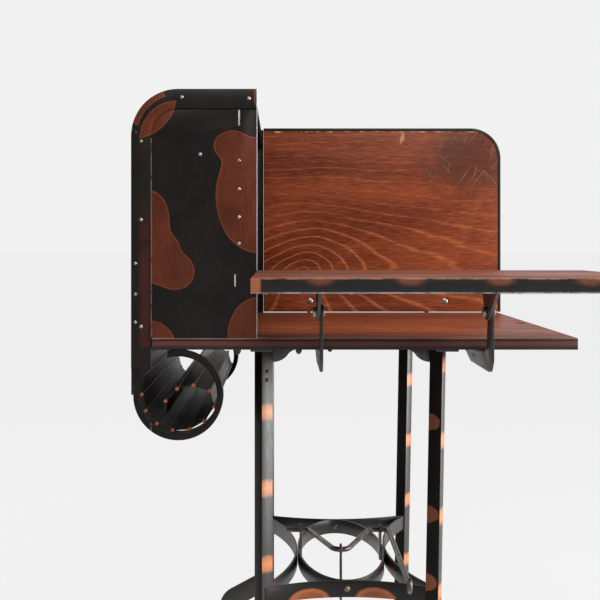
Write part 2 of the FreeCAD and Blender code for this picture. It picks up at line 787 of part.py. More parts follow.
def make_stretcher_bolts():
    """Round bolt heads where the oval meets the near and far straps, outside and inside."""
    heads = []
    z = N.strap_top - N.strap_tall / 2
    for side in (NEAR, FAR):
        out_turn = FreeCAD.Rotation(FreeCAD.Vector(0, 0, 1), FreeCAD.Vector(0, side, 0))
        in_turn = FreeCAD.Rotation(FreeCAD.Vector(0, 0, 1), FreeCAD.Vector(0, -side, 0))
        outer = N.half_width - N.oval_long - N.strap_thick - 0.3
        inner = N.half_width - N.oval_long + N.strap_thick + 0.6
        for inward, turn in ((outer, out_turn), (inner, in_turn)):
            head = rivet(5, 3)
            spot = FreeCAD.Vector(N.strap_middle_x, outward(side, -inward).value, z)
            head.Placement = FreeCAD.Placement(spot, turn)
            heads.append(head)
    node(feature(Part.makeCompound(heads), "bolts"), "stretcher_bolts")


def make_braces(leg_shapes):
    """Plates that run from the rear legs back and down to the rear casters, with a low tie bar."""
    for name, side in SIDES.items():
        rear = D.rear_caster_x - 10
        front = D.leg_rear_x - 6.5
        inner = D.rear_caster_x + 11
        outline = [
            (front, D.brace_arm_low), (front, D.brace_arm_top), (rear, D.brace_bend_top),
            (rear, D.brace_foot), (inner, D.brace_foot), (inner, D.brace_bar_low),
            (front, D.brace_bar_low), (front, D.brace_bar_top), (inner, D.brace_bar_top),
            (inner, D.brace_bend_low),
        ]
        brace = plate(outline, D.brace_thick, [(2, 40), (8, 8), (9, 14)], f"brace_{name}")
        place(brace, 0, stand_y(side, 8), 0, TURN_UP)
        doc.recompute()
        shape = largest(brace.Shape.cut(leg_shapes))
        node(feature(shape, "brace_cut"), f"rear_brace_{name}")


def make_crank_posts():
    posts = []
    low = D.strap_top - D.post_foot
    for x in (D.strap_middle_x - D.oval_short + 3.1, D.strap_middle_x + D.oval_short - 7.1):
        stem = box(x, D.middle_y - D.post_wide / 2, low, D.post_thick, D.post_wide, D.crank_z - low, "post")
        eye = round_bar(x, D.middle_y, D.crank_z, D.eye_radius, D.post_thick, "x", "eye")
        bore = D.crank_rod + D.bore_play
        hole = round_bar(x - 1, D.middle_y, D.crank_z, bore, D.post_thick + 2, "x", "eye_hole")
        posts.append(cut(fuse([stem, eye], "post_blank"), hole, "eye_post"))
    node(group(posts, "posts"), "crank_posts")


# --- crank lever and brake -------------------------------------------------------------------------

def bent_rod(points, radius, bends):
    """A round rod along straight runs joined by tangent arcs, one bend radius for each corner."""
    edges = []
    last = points[0]
    for before, corner, after, bend in zip(points[:-2], points[1:-1], points[2:], bends):
        back = (before - corner).normalize()
        ahead = (after - corner).normalize()
        half = math.acos(max(-1, min(1, back.dot(ahead)))) / 2
        run = bend / math.tan(half)
        start = corner + back * run
        end = corner + ahead * run
        centre = corner + (back + ahead).normalize() * (bend / math.sin(half))
        middle = centre + (corner - centre).normalize() * bend
        edges.append(Part.makeLine(last, start))
        edges.append(Part.Arc(start, middle, end).toShape())
        last = end
    edges.append(Part.makeLine(last, points[-1]))
    path = Part.Wire(edges)
    circle = Part.Wire(Part.makeCircle(radius, points[0], points[1] - points[0]))
    return path.makePipeShell([circle], True, True)


def crank_points():
    """The crank's route: through both eye-posts, a V between them, then the lever to the near side."""
    z = N.crank_z
    y = N.middle_y
    return [
        FreeCAD.Vector(-94.5, y, z), FreeCAD.Vector(-59, y, z),
        FreeCAD.Vector(-13, y - N.crank_corner, z), FreeCAD.Vector(40, y, z),
        FreeCAD.Vector(N.lever_x, y, z), FreeCAD.Vector(N.lever_x, y - N.lever_reach, z),
    ]


def crank_apex():
    """The middle of the V's rounded tip, where the pull rod hangs."""
    before, corner, after = crank_points()[1:4]
    back = (before - corner).normalize()
    ahead = (after - corner).normalize()
    half = math.acos(back.dot(ahead)) / 2
    return corner + (back + ahead).normalize() * (N.crank_tip_bend * (1 / math.sin(half) - 1))


def make_crank():
    points = crank_points()
    bends = [N.crank_bend, N.crank_tip_bend, N.crank_bend, N.crank_bend]
    rod = bent_rod(points, N.crank_rod, bends)
    eye = Part.makeTorus(8, 3, points[-1] + FreeCAD.Vector(0, -6, 0), FreeCAD.Vector(1, 0, 0))
    node(feature(rod.fuse(eye), "crank"), "crank_lever")


def make_brake():
    """The pull rod hangs on the crank's tip by an eye and carries a foot just above the floor."""
    apex = crank_apex()
    eye_major = 7.4
    eye_minor = 1.8
    foot_low = 18
    foot_tall = 12
    eye = Part.makeTorus(eye_major, eye_minor, apex, FreeCAD.Vector(1, 0, 0))
    low = foot_low + foot_tall / 2
    shank = Part.makeCylinder(N.pull_rod, apex.z - eye_major - low, FreeCAD.Vector(apex.x, apex.y, low))
    node(feature(shank.fuse(eye), "pull"), "pull_rod")
    cone = doc.addObject("Part::Cone", "foot_cone")
    bind(cone, Radius1=30, Radius2=8, Height=foot_tall)
    place(cone, apex.x, apex.y, foot_low)
    bore = round_bar(apex.x, apex.y, low, D.pull_rod, foot_tall, "z", "foot_bore")
    node(cut(cone, bore, "foot"), "brake_foot")
    bar_low = D.strap_top - D.strap_tall - 3.5
    bar = box(D.strap_middle_x - 50, apex.y - 7, bar_low, 100, 14, 3.5, "guide")
    hole = round_bar(apex.x, apex.y, bar_low - 3, D.pull_rod + 0.08, 10, "z", "hole")
    node(cut(bar, hole, "guide_bar"), "pull_rod_guide")


# --- casters ---------------------------------------------------------------------------------------

def caster_spots():
    rear_behind = 13
    front_behind = 11.6
    return {
        "near_rear": (D.rear_caster_x, stand_y(NEAR, rear_behind)),
        "near_front": (D.front_caster_x, stand_y(NEAR, front_behind)),
        "far_front": (D.front_caster_x, stand_y(FAR, front_behind)),
        "far_rear": (D.rear_caster_x, stand_y(FAR, rear_behind)),
    }


def make_casters(leg_shapes, brace_shapes):
    sockets = []
    for name, (x, y) in caster_spots().items():
        blank = round_bar(x, y, D.socket_low, D.socket_radius, D.socket_tall, "z", "socket_blank")
        hollow = D.stem_radius + D.bore_play
        bore = round_bar(x, y, D.socket_low - 1, hollow, D.socket_tall - 2, "z", "socket_bore")
        socket = cut(blank, bore, "socket")
        doc.recompute()
        sockets.append(largest(socket.Shape.cut(leg_shapes + brace_shapes)))
        make_fork(name, x, y)
        make_wheel(name, x, y)
    node(feature(Part.makeCompound(sockets), "sockets"), "caster_sockets")


def make_fork(name, x, y):
    """Stem, crown and two cheeks, with the axle between the cheeks."""
    trail = D.caster_trail
    axle_z = D.wheel_radius
    half = D.neck_wide / 2
    crown = round_bar(x, y, D.crown_low, D.crown_radius, 5, "z", "crown")
    stem = round_bar(x, y, D.crown_low + 3.5, D.stem_radius, 23, "z", "stem")
    neck = box(x - trail, y - half, D.neck_low, trail + 8, D.neck_wide, 5, "neck")
    parts = [crown, stem, neck]
    for low in (y - half, y + half - D.cheek_thick):
        outline = [(-9, 26), (9, 30), (9, -7), (-9, -7)]
        cheek = plate(outline, D.cheek_thick, [(2, 7), (3, 7)], f"cheek_{name}")
        place(cheek, x - trail, low + D.cheek_thick, axle_z, TURN_UP)
        parts.append(cheek)
    start = y - D.axle_long / 2
    holes = round_bar(x - trail, start, axle_z, D.axle_radius, D.axle_long, "y", "axle_hole")
    fork = cut(fuse(parts, "fork_blank"), holes, "fork_body")
    axle = round_bar(x - trail, start, axle_z, D.axle_radius, D.axle_long, "y", "axle")
    node(group([fork, axle], "fork"), f"caster_fork_{name}")


def make_wheel(name, x, y):
    disc = round_bar(x - D.caster_trail, y - D.wheel_wide / 2, D.wheel_radius, D.wheel_radius,
                     D.wheel_wide, "y", "disc")
    bore = round_bar(x - D.caster_trail, y - D.wheel_wide, D.wheel_radius, D.axle_radius + D.bore_play,
                     D.wheel_wide * 2, "y", "wheel_bore")
    node(cut(disc, bore, "wheel"), f"caster_wheel_{name}")


# --- assembly --------------------------------------------------------------------------------------

def check_and_export():
    doc.recompute()
    for obj in doc.Objects:
        if "Invalid" in obj.State or "Error" in obj.State:
            raise RuntimeError(f"{obj.Label} did not recompute: {obj.State}")
    os.makedirs("parts", exist_ok=True)
    for obj in nodes:
        if obj.Shape.isNull() or not obj.Shape.isValid() or not obj.Shape.Solids:
            raise RuntimeError(f"{obj.Label} has no valid solid")
    for obj in nodes:
        obj.Shape.exportStep(f"parts/{obj.Label}.step")
    print(len(nodes), "nodes written")


make_table_board()
make_underframe()
for side_name, side_sign in SIDES.items():
    make_track(side_name, side_sign)
    make_coil_ring(side_name, side_sign)
    make_side_plate(side_name, side_sign)
    make_leaf(side_name, side_sign)
    make_brackets(side_name, side_sign)
make_lining()
make_cabinet_rivets()
make_curtain()
make_pivot_pins()
legs = [make_leg(leg_name, *spec) for leg_name, spec in LEGS.items()]
doc.recompute()
leg_solids = [leg.Shape for leg in legs]
gussets = [largest(piece.cut(leg_solids)) for piece in make_gussets()]
node(feature(Part.makeCompound(gussets), "gussets"), "leg_gussets")
make_stretcher(leg_solids)
make_stretcher_bolts()
make_braces(leg_solids)
brace_solids = [obj.Shape for obj in nodes if obj.Label.startswith("rear_brace")]
make_crank_posts()
make_crank()
make_brake()
make_casters(leg_solids, brace_solids)
check_and_export()
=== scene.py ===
import json
import math

import bmesh
import bpy
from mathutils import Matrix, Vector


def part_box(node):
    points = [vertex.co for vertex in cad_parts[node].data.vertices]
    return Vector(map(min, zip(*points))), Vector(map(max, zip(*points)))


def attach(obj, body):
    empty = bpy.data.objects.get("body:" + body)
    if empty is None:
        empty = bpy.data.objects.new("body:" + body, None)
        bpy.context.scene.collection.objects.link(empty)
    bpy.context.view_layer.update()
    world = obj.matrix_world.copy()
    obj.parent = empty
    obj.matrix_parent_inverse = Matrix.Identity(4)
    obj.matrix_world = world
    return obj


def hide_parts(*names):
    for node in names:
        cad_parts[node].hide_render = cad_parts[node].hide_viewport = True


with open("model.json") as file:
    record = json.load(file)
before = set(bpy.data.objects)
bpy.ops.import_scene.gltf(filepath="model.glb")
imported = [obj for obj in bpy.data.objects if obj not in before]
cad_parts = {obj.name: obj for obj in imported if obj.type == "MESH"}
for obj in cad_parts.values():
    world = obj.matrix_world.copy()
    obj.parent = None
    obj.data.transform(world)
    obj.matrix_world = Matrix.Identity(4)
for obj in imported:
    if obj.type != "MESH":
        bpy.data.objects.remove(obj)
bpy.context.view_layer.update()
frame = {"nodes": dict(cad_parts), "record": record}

MM = 0.001
record = frame["record"]

# Places read from the frame, in metres.
BOARD_LOW, BOARD_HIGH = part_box("table_board")
PLATE_LOW, PLATE_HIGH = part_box("side_plate_near")
TRACK_LOW, TRACK_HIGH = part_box("track_near")
LEAF_LOW, LEAF_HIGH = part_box("far_leaf_board")
NEAR_EDGE_LOW, NEAR_EDGE_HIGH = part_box("near_leaf_edge")
OVAL_LOW, OVAL_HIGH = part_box("oval_ring")
STRAP_LOW, STRAP_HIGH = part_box("stretcher_near")
TOP_Z = BOARD_HIGH[2]
NEAR_Y = PLATE_LOW[1]
MIDDLE_Y = (OVAL_LOW[1] + OVAL_HIGH[1]) / 2
CABINET_TOP = TRACK_HIGH[2]

# --- camera, light, stage --------------------------------------------------------------------------


CAMERA_X = -0.1055
CAMERA_BACK = 1.5
CAMERA_ABOVE_TOP = 0.1314


def make_camera():
    """Level, square on to the near side, and a little above the table top."""
    data = bpy.data.cameras.new("camera")
    data.sensor_width = 36.0
    data.lens = 65.2
    data.shift_x = 0.0333
    data.shift_y = -0.095
    data.dof.use_dof = False
    camera = bpy.data.objects.new("camera", data)
    camera.location = (CAMERA_X, NEAR_Y - CAMERA_BACK, TOP_Z + CAMERA_ABOVE_TOP)
    camera.rotation_euler = (math.radians(90), 0, 0)
    bpy.context.collection.objects.link(camera)
    bpy.context.scene.camera = camera


def make_area(name, place, target, size, power, color=(1, 1, 1)):
    data = bpy.data.lights.new(name, "AREA")
    data.shape = "RECTANGLE"
    data.size, data.size_y = size
    data.energy = power
    data.color = color
    lamp = bpy.data.objects.new(name, data)
    lamp.location = place
    aim = [b - a for a, b in zip(place, target)]
    flat = math.hypot(aim[0], aim[1])
    lamp.rotation_euler = (math.atan2(flat, -aim[2]), 0, math.atan2(aim[1], aim[0]) - math.pi / 2)
    bpy.context.collection.objects.link(lamp)


def make_world():
    """A pale studio: seen as an even pale grey, and lighting the table more from behind and above."""
    world = bpy.data.worlds.new("studio")
    bpy.context.scene.world = world
    world.use_nodes = True
    tree = world.node_tree
    tree.nodes.clear()
    out = tree.nodes.new("ShaderNodeOutputWorld")
    shade = tree.nodes.new("ShaderNodeBackground")
    coord = tree.nodes.new("ShaderNodeTexCoord")
    split = tree.nodes.new("ShaderNodeSeparateXYZ")
    spread = tree.nodes.new("ShaderNodeMapRange")
    path = tree.nodes.new("ShaderNodeLightPath")
    mix = tree.nodes.new("ShaderNodeMix")
    mix.data_type = "FLOAT"
    spread.inputs["From Min"].default_value = -0.6
    spread.inputs["From Max"].default_value = 0.6
    spread.inputs["To Min"].default_value = 0.07
    spread.inputs["To Max"].default_value = 0.55
    mix.inputs["B"].default_value = 0.88
    shade.inputs["Color"].default_value = (1, 1, 1, 1)
    tree.links.new(coord.outputs["Generated"], split.inputs[0])
    tree.links.new(split.outputs["Y"], spread.inputs["Value"])
    tree.links.new(path.outputs["Is Camera Ray"], mix.inputs["Factor"])
    tree.links.new(spread.outputs["Result"], mix.inputs["A"])
    tree.links.new(mix.outputs["Result"], shade.inputs["Strength"])
    tree.links.new(shade.outputs[0], out.inputs["Surface"])


def make_floor():
    mesh = bpy.data.meshes.new("floor")
    # far enough that its edge meets the horizon
    reach = 90.0
    corners = [(-reach, -reach, 0), (reach, -reach, 0), (reach, reach, 0), (-reach, reach, 0)]
    mesh.from_pydata(corners, [], [(0, 1, 2, 3)])
    floor = bpy.data.objects.new("floor", mesh)
    bpy.context.collection.objects.link(floor)
    g = Graph("pale_floor")
    tone = g.noise(2.0, 3.0, g.place)
    g.set("Base Color", g.ramp(tone, [(0.3, (0.047, 0.047, 0.047)), (0.7, (0.053, 0.053, 0.053))]))
    g.bsdf.inputs["Roughness"].default_value = 0.8
    g.bsdf.inputs["Specular IOR Level"].default_value = 0.0
    g.bsdf.inputs["Emission Color"].default_value = (1, 1, 1, 1)
    g.bsdf.inputs["Emission Strength"].default_value = 0.838
    mesh.materials.append(g.material)


# --- material building -----------------------------------------------------------------------------


class Graph:
    """A material being built: every method adds one node and gives its output."""

    def __init__(self, name):
        material = bpy.data.materials.new(name)
        material.use_nodes = True
        self.open(material)

    @classmethod
    def over(cls, material):
        """A graph that adds to a material already made."""
        graph = cls.__new__(cls)
        graph.open(material)
        return graph

    def open(self, material):
        self.material = material
        self.tree = material.node_tree
        self.bsdf = self.tree.nodes["Principled BSDF"]
        self.place = self.add("ShaderNodeTexCoord").outputs["Object"]
        split = self.add("ShaderNodeSeparateXYZ")
        self.join(self.place, split.inputs[0])
        self.x, self.y, self.z = split.outputs

    def add(self, kind):
        return self.tree.nodes.new(kind)

    def join(self, value, socket):
        if isinstance(value, bpy.types.NodeSocket):
            self.tree.links.new(value, socket)
        elif isinstance(value, tuple) and len(value) == 3 and socket.type == "RGBA":
            socket.default_value = (*value, 1.0)
        else:
            socket.default_value = value

    def set(self, socket, value):
        self.join(value, self.bsdf.inputs[socket])

    def math(self, operation, a, b=0.0, clamp=False):
        node = self.add("ShaderNodeMath")
        node.operation = operation
        node.use_clamp = clamp
        self.join(a, node.inputs[0])
        self.join(b, node.inputs[1])
        return node.outputs[0]

    def swing(self, noise, size):
        """A noise value swung either side of zero, size wide in all."""
        return self.math("MULTIPLY", self.math("SUBTRACT", noise, 0.5), size)

    def smooth_min(self, a, b, blend):
        node = self.add("ShaderNodeMath")
        node.operation = "SMOOTH_MIN"
        self.join(a, node.inputs[0])
        self.join(b, node.inputs[1])
        self.join(blend, node.inputs[2])
        return node.outputs[0]

    def span(self, value, low, high, to_low=0.0, to_high=1.0):
        node = self.add("ShaderNodeMapRange")
        node.interpolation_type = "SMOOTHSTEP"
        for socket, amount in zip(node.inputs, (value, low, high, to_low, to_high)):
            self.join(amount, socket)
        return node.outputs["Result"]

    def mix(self, share, a, b):
        node = self.add("ShaderNodeMix")
        node.data_type = "RGBA"
        colour_a, colour_b = [s for s in node.inputs if s.type == "RGBA"]
        self.join(share, node.inputs[0])
        self.join(a, colour_a)
        self.join(b, colour_b)
        return [s for s in node.outputs if s.type == "RGBA"][0]

    def noise(self, scale, detail, vector, rough=0.5):
        node = self.add("ShaderNodeTexNoise")
        self.join(vector, node.inputs["Vector"])
        node.inputs["Scale"].default_value = scale
        node.inputs["Detail"].default_value = detail
        node.inputs["Roughness"].default_value = rough
        return node.outputs["Fac"]

    def ramp(self, value, stops):
        node = self.add("ShaderNodeValToRGB")
        while len(node.color_ramp.elements) < len(stops):
            node.color_ramp.elements.new(0.5)
        for element, (at, colour) in zip(node.color_ramp.elements, stops):
            element.position = at
            element.color = (*colour, 1.0)
        self.join(value, node.inputs[0])
        return node.outputs[0]

    def stretched(self, scale, turn=(0, 0, 0), shift=(0, 0, 0), vector=None):
        node = self.add("ShaderNodeMapping")
        self.join(vector or self.place, node.inputs["Vector"])
        node.inputs["Location"].default_value = shift
        node.inputs["Rotation"].default_value = turn
        node.inputs["Scale"].default_value = scale
        return node.outputs[0]

    def bump(self, height, strength, distance):
        node = self.add("ShaderNodeBump")
        node.inputs["Strength"].default_value = strength
        node.inputs["Distance"].default_value = distance
        self.join(height, node.inputs["Height"])
        self.set("Normal", node.outputs[0])

    def ellipse(self, centre, radii, turn=0.0, axes="xz"):
        """Rough distance in metres outside an ellipse in the XZ (or XY) plane, negative inside it."""
        far = 1000.0
        across = (centre[0], 0, centre[1]) if axes == "xz" else (centre[0], centre[1], 0)
        sizes = (radii[0], far, radii[1]) if axes == "xz" else (radii[0], radii[1], far)
        node = self.add("ShaderNodeMapping")
        node.vector_type = "TEXTURE"
        self.join(self.place, node.inputs["Vector"])
        node.inputs["Location"].default_value = across
        node.inputs["Rotation"].default_value = (0, turn, 0)
        node.inputs["Scale"].default_value = sizes
        length = self.add("ShaderNodeVectorMath")
        length.operation = "LENGTH"
        self.join(node.outputs[0], length.inputs[0])
        return self.math("MULTIPLY", self.math("SUBTRACT", length.outputs["Value"], 1.0), min(radii))


# --- wood ------------------------------------------------------------------------------------------

OAK_DARK = (0.105, 0.021, 0.009)
OAK_MID = (0.205, 0.044, 0.016)
OAK_LIGHT = (0.37, 0.105, 0.036)
OAK_WORN = (0.50, 0.27, 0.14)
OAK_PORE = (0.030, 0.008, 0.004)
# The arched figure: how far it leans to the front as it rises, up to what height, how much it opens
# out below its heart, and how narrow its pale lines are.
ARCH_LEAN = 0.32
ARCH_LEAN_TOP = 0.09
ARCH_OPENING = 0.9
LINE_POWER = 14.0


def oak(name, across, heart, ring, tone=1.0, figure=(3.0, 0.0, 0.0), worn=None, marks=0.60, gloss=0.20):
    """Oiled oak with its grain along X. across is the board's other direction, heart the eye of the
    arched figure, ring the width of one growth ring. figure is how long the arches are for their
    height at the heart, what the cube of the distance across adds to that, and what a metre along
    adds. worn is where the finish has gone, 0 to 1, and marks is how few the scratches are."""
    g = Graph(name)
    side = {"y": g.y, "z": g.z}[across]
    wander = g.noise(1.0, 3.0, g.stretched((2.2, 8, 8)), 0.5)
    ripple = g.noise(1.0, 4.0, g.stretched((16, 90, 90)), 0.6)
    ds = g.math("SUBTRACT", side, heart[1])
    below = g.math("MINIMUM", ds, 0.0)
    above = g.math("MINIMUM", g.math("MAXIMUM", ds, 0.0), ARCH_LEAN_TOP)
    lean = g.math("MULTIPLY", above, ARCH_LEAN)
    dx = g.math("SUBTRACT", g.math("SUBTRACT", g.x, heart[0]), lean)
    cube = g.math("POWER", g.math("ABSOLUTE", ds), 3.0)
    long = g.math("ADD", g.math("MULTIPLY", cube, figure[1]), figure[0])
    long = g.math("ADD", g.math("MULTIPLY", g.math("ABSOLUTE", dx), figure[2]), long)
    dx = g.math("DIVIDE", dx, long)
    reach = g.math("SQRT", g.math("ADD", g.math("MULTIPLY", dx, dx), g.math("MULTIPLY", ds, ds)))
    reach = g.math("ADD", reach, g.math("MULTIPLY", below, ARCH_OPENING))
    arched = g.span(reach, 0.16, 0.07)
    bend = g.span(reach, 0.02, 0.12, 0.016, 0.055)
    reach = g.math("ADD", reach, g.swing(wander, bend))
    reach = g.math("ADD", reach, g.swing(ripple, 0.004))
    wave = g.math("SINE", g.math("MULTIPLY", reach, 2 * math.pi / ring))
    line = g.math("POWER", g.math("MULTIPLY", g.math("ADD", wave, 1.0), 0.5), LINE_POWER)
    broken = g.noise(1.0, 3.0, g.stretched((40, 260, 260)), 0.65)
    broken = g.math("MAXIMUM", g.span(broken, 0.34, 0.60), g.math("MULTIPLY", arched, 0.75))
    line = g.math("MULTIPLY", line, broken)
    line = g.math("MULTIPLY", line, g.math("ADD", g.math("MULTIPLY", arched, 0.62), 0.38))
    broad = g.noise(1.0, 2.0, g.stretched((2.5, 14, 14)), 0.5)
    fibre = g.noise(1.0, 2.0, g.stretched((40, 430, 430)), 0.62)
    pore = g.noise(1.0, 3.0, g.stretched((75, 1300, 1300)), 0.7)
    dark, middle, pale = (tuple(c * tone for c in hue) for hue in (OAK_DARK, OAK_MID, OAK_LIGHT))
    base = g.mix(g.span(broad, 0.3, 0.7), dark, middle)
    base = g.mix(g.math("MULTIPLY", g.span(fibre, 0.52, 0.66), 0.24), base, pale)
    base = g.mix(line, base, pale)
    base = g.mix(g.math("MULTIPLY", g.span(fibre, 0.48, 0.36), 0.36), base, OAK_PORE)
    base = g.mix(g.math("MULTIPLY", g.span(pore, 0.57, 0.70), 0.65), base, OAK_PORE)
    grime = g.noise(5.0, 4.0, g.place, 0.6)
    base = g.mix(g.math("MULTIPLY", g.span(grime, 0.55, 0.75), 0.35), base, OAK_PORE)
    scratch = g.noise(1.0, 2.0, g.stretched((9, 700, 700), turn=(0.10, 0.16, 0.07)), 0.5)
    sparse = g.noise(6.0, 2.0, g.place, 0.5)
    mark = g.math("MULTIPLY", g.span(scratch, 0.70, 0.76), g.span(sparse, marks - 0.08, marks + 0.06))
    base = g.mix(g.math("MULTIPLY", mark, 0.6), base, OAK_WORN)
    if worn:
        base = g.mix(worn(g), base, OAK_WORN)
    g.set("Base Color", base)
    g.set("Roughness", g.span(ripple, 0.2, 0.8, 0.30, 0.46))
    g.bsdf.inputs["Specular IOR Level"].default_value = gloss
    g.bump(g.math("ADD", g.math("MULTIPLY", line, 0.4), g.math("MULTIPLY", pore, -0.6)), 0.25, 0.0003)
    return g.material


def worn_rim(axis, edge, depth, strength=0.8):
    """A ragged pale line along the board's edge at axis = edge."""
    def mask(g):
        side = {"x": g.x, "y": g.y, "z": g.z}[axis]
        away = g.math("ABSOLUTE", g.math("SUBTRACT", side, edge))
        ragged = g.noise(1.0, 4.0, g.stretched((60, 60, 60)), 0.7)
        limit = g.math("MULTIPLY", g.span(ragged, 0.42, 0.72), depth)
        return g.math("MULTIPLY", g.math("LESS_THAN", away, limit), strength)
    return mask


def worn_streaks(rim, shares):
    """A worn rim with long pale streaks: shares is how strong they are, and the noise they start at."""
    def mask(g):
        long = g.noise(1.0, 4.0, g.stretched((5, 42, 42)), 0.62)
        short = g.noise(1.0, 3.0, g.stretched((28, 260, 260)), 0.65)
        streak = g.math("MULTIPLY", g.span(long, shares[1], shares[1] + 0.16), shares[0])
        fleck = g.math("MULTIPLY", g.span(short, 0.60, 0.74), shares[0])
        return g.math("MAXIMUM", rim(g), g.math("MAXIMUM", streak, fleck))
    return mask


def worn_spots(rim):
    """The rubbed place at the upright leaf's upper rim, besides its worn rim."""
    def mask(g):
        spot = g.ellipse((LEAF_LOW[0] + 0.262, LEAF_HIGH[2] - 0.013), (0.0036, 0.0105), 0.25)
        cloud = g.noise(150.0, 3.0, g.place, 0.6)
        spot = g.math("ADD", spot, g.swing(cloud, 6 * MM))
        return g.math("MAXIMUM", rim(g), g.math("MULTIPLY", g.span(spot, 1.0 * MM, -1.0 * MM), 0.55))
    return mask


def patina(material):
    """Dull brown grime and fine crossed scratches toward the upright leaf's upper front corner."""
    g = Graph.over(material)
    old = g.bsdf.inputs["Base Color"].links[0].from_socket
    spot = g.ellipse((LEAF_HIGH[0] - 0.045, LEAF_HIGH[2] - 0.050), (0.105, 0.085))
    cloud = g.noise(28.0, 4.0, g.place, 0.65)
    share = g.span(g.math("ADD", spot, g.swing(cloud, 0.12)), 0.03, -0.06)
    hue = g.mix(g.math("MULTIPLY", share, 0.78), old, (0.052, 0.020, 0.014))
    for turn in (0.9, -0.7, 1.35):
        turned = g.stretched((1, 1, 1), turn=(0, turn, 0))
        scratch = g.noise(1.0, 2.0, g.stretched((12, 12, 420), vector=turned), 0.5)
        mark = g.math("MULTIPLY", g.span(scratch, 0.65, 0.71), share)
        hue = g.mix(g.math("MULTIPLY", mark, 0.42), hue, (0.36, 0.19, 0.12))
    g.set("Base Color", hue)
    return material


# --- japanned steel --------------------------------------------------------------------------------

JAPAN = (0.0062, 0.0056, 0.0053)
JAPAN_WARM = (0.011, 0.0078, 0.0064)
COPPER = (0.105, 0.025, 0.0115)
COPPER_DEEP = (0.060, 0.014, 0.008)
COPPER_RIM = (0.21, 0.052, 0.019)
COPPER_BRIGHT = (0.62, 0.215, 0.055)
SEAM_LIGHT = (0.26, 0.17, 0.13)
# the pale blue-white line down the cabinet sheet's front edge: a painted highlight
SHEET_EDGE_HIGHLIGHT = (0.55, 0.60, 0.66)


def facing(g):
    """The three parts of the face's own direction."""
    split = g.add("ShaderNodeSeparateXYZ")
    g.join(g.add("ShaderNodeTexCoord").outputs["Normal"], split.inputs[0])
    return split.outputs


def outward_faces(g):
    side = g.math("SIGN", g.math("SUBTRACT", g.y, MIDDLE_Y))
    return g.span(g.math("MULTIPLY", facing(g)[1], side), -0.7, -0.4)


def japan(name, distance=None, copper=COPPER, rim=COPPER_RIM, rim_wide=1.2 * MM, soft=0.35 * MM,
          brush="z", lines=None, shine=0.16, dull_rear=False):
    """Black japan with copper showing where distance, a function of the graph, is below zero.
    lines adds pale worn edges: a function of the graph that gives pairs of share and colour.
    dull_rear leaves the gloss off the faces that look to the table's rear.
    The copper is left off the faces that look in toward the table's middle plane."""
    g = Graph(name)
    grain = {"z": (520, 520, 50), "x": (50, 520, 520), "y": (520, 50, 520)}[brush]
    brushed = g.noise(1.0, 3.0, g.stretched(grain), 0.6)
    cloud = g.noise(16.0, 5.0, g.place, 0.62)
    dust = g.noise(420.0, 2.0, g.place, 0.7)
    black = g.mix(g.span(cloud, 0.35, 0.7), JAPAN, JAPAN_WARM)
    black = g.mix(g.math("MULTIPLY", g.span(dust, 0.66, 0.80), 0.22), black, (0.09, 0.075, 0.065))
    if distance:
        away = distance(g)
        wobble = g.noise(45.0, 3.0, g.place, 0.5)
        away = g.math("ADD", away, g.swing(wobble, 2.2 * MM))
        inside = g.math("MULTIPLY", g.span(away, soft, -soft), outward_faces(g))
        edge = g.span(g.math("ABSOLUTE", g.math("ADD", away, rim_wide * 0.5)), rim_wide, 0.0)
        hue = g.mix(g.span(brushed, 0.35, 0.65), tuple(c * 0.80 for c in copper), copper)
        dull = tuple(c * 0.48 for c in copper)
        hue = g.mix(g.math("MULTIPLY", g.span(cloud, 0.42, 0.66), 0.62), hue, dull)
        hue = g.mix(g.math("MULTIPLY", edge, 0.55), hue, rim)
        black = g.mix(inside, black, hue)
        g.set("Metallic", g.math("MULTIPLY", inside, 0.22))
    if lines:
        for share, colour in lines(g):
            black = g.mix(share, black, colour)
    g.set("Base Color", black)
    g.set("Roughness", g.span(brushed, 0.25, 0.75, 0.34, 0.50))
    g.bsdf.inputs["Specular IOR Level"].default_value = shine
    if dull_rear:
        g.set("Specular IOR Level", g.span(facing(g)[0], -0.2, 0.4, 0.10, shine))
    g.bump(g.math("ADD", brushed, g.math("MULTIPLY", dust, 0.5)), 0.14, 0.0002)
    return g.material


def union(g, parts, blend):
    total = parts[0]
    for part in parts[1:]:
        total = g.smooth_min(total, part, blend)
    return total


